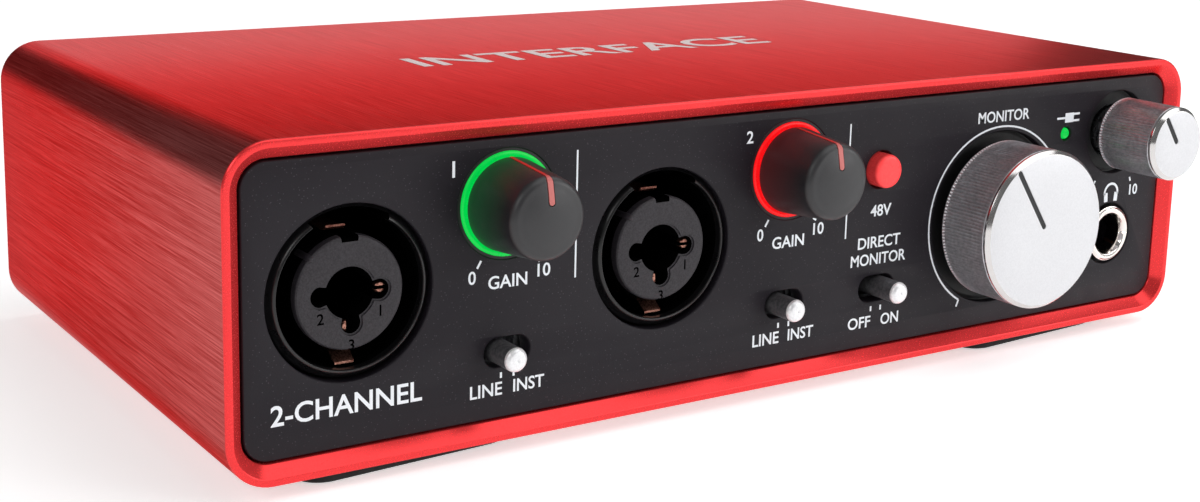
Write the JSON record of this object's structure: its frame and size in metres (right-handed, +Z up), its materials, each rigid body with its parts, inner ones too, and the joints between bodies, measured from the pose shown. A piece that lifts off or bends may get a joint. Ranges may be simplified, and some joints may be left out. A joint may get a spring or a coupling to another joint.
{
  "type": "audio interface",
  "caption": "Slim desktop box with a rounded metal sleeve, a recessed dark front panel of sockets, knobs, slide switches and a push button, and connectors behind.",
  "frame": {"origin": "on the desk, below the middle of the whole object with its knobs", "axes": "+X to the right of somebody facing the front panel, +Y from the front panel to the rear, +Z up"},
  "size_m": [0.175, 0.1086, 0.047],
  "materials": {
    "anodised_red": "brushed and anodised red",
    "panel_black": "fine matt texture",
    "soft_black": "soft-touch matt",
    "socket_black": "satin moulded",
    "foot_rubber": "matt",
    "knob_metal": "satin face, polished edge, knurled side",
    "lever_metal": "satin",
    "chrome_bush": "polished",
    "steel": "zinc plated",
    "copper": "plain copper alloy",
    "board_green": "solder mask",
    "chip_black": "moulded",
    "lit_green": "lit translucent",
    "lit_red": "lit translucent",
    "pointer_red": "painted"
  },
  "bodies": {
    "chassis": {"chassis_tray": "steel", "combo_1_housing": "socket_black", "combo_1_insert": "socket_black", "combo_1_lower_contact": "copper", "combo_1_upper_contact": "copper", "combo_2_housing": "socket_black", "combo_2_insert": "socket_black", "combo_2_lower_contact": "copper", "combo_2_upper_contact": "copper", "control_board": "board_green", "converter_chip": "chip_black", "direct_monitor_switch": "steel", "foot_front_left": "foot_rubber", "foot_front_right": "foot_rubber", "foot_rear_left": "foot_rubber", "foot_rear_right": "foot_rubber", "front_panel": "panel_black", "gain_1_light_ring": "lit_green", "gain_1_pot": "steel", "gain_2_light_ring": "lit_red", "gain_2_pot": "steel", "headphone_bush": "chrome_bush", "headphone_pot": "steel", "headphone_socket": "socket_black", "input_1_switch": "steel", "input_2_switch": "steel", "line_out_left_nut": "steel", "line_out_left_socket": "socket_black", "line_out_right_nut": "steel", "line_out_right_socket": "socket_black", "main_board": "board_green", "monitor_pot": "steel", "outer_sleeve": "anodised_red", "phantom_switch": "chip_black", "rear_panel": "panel_black", "rear_screw_1": "steel", "rear_screw_2": "steel", "rear_screw_3": "steel", "rear_screw_4": "steel", "status_light": "lit_green", "supply_capacitor_1": "steel", "supply_capacitor_2": "steel", "usb_controller_chip": "chip_black", "usb_shell": "steel", "usb_tongue": "socket_black"},
    "gain_1": {"gain_1_knob": "soft_black", "gain_1_pointer": "pointer_red", "gain_1_shaft": "steel"},
    "gain_2": {"gain_2_knob": "soft_black", "gain_2_pointer": "pointer_red", "gain_2_shaft": "steel"},
    "monitor": {"monitor_knob": "knob_metal", "monitor_shaft": "steel"},
    "headphone": {"headphone_knob": "knob_metal", "headphone_shaft": "steel"},
    "phantom": {"phantom_button": "lit_red"},
    "input_1_slider": {"input_1_lever": "lever_metal"},
    "input_2_slider": {"input_2_lever": "lever_metal"},
    "direct_monitor_slider": {"direct_monitor_lever": "lever_metal"}
  },
  "joints": [
    {"name": "gain_1_turn", "type": "hinge", "parent": "chassis", "child": "gain_1", "pos_m": [-0.0465, -0.04315, 0.035], "axis": [0, 1, 0], "range_deg": [-150, 150]},
    {"name": "gain_2_turn", "type": "hinge", "parent": "chassis", "child": "gain_2", "pos_m": [0.0024, -0.04315, 0.035], "axis": [0, 1, 0], "range_deg": [-150, 150]},
    {"name": "monitor_turn", "type": "hinge", "parent": "chassis", "child": "monitor", "pos_m": [0.0459, -0.04315, 0.023], "axis": [0, 1, 0], "range_deg": [-116, 184]},
    {"name": "headphone_turn", "type": "hinge", "parent": "chassis", "child": "headphone", "pos_m": [0.0734, -0.04315, 0.0348], "axis": [0, 1, 0], "range_deg": [-116, 184]},
    {"name": "phantom_press", "type": "slide", "parent": "chassis", "child": "phantom", "axis": [0, 1, 0], "range_m": [0, 0.0014], "stiffness_N_per_m": 600, "springref_m": -0.0008},
    {"name": "input_1_slide", "type": "slide", "parent": "chassis", "child": "input_1_slider", "axis": [1, 0, 0], "range_m": [0, 0.002]},
    {"name": "input_2_slide", "type": "slide", "parent": "chassis", "child": "input_2_slider", "axis": [1, 0, 0], "range_m": [0, 0.002]},
    {"name": "direct_monitor_slide", "type": "slide", "parent": "chassis", "child": "direct_monitor_slider", "axis": [1, 0, 0], "range_m": [-0.002, 0]}
  ]
}
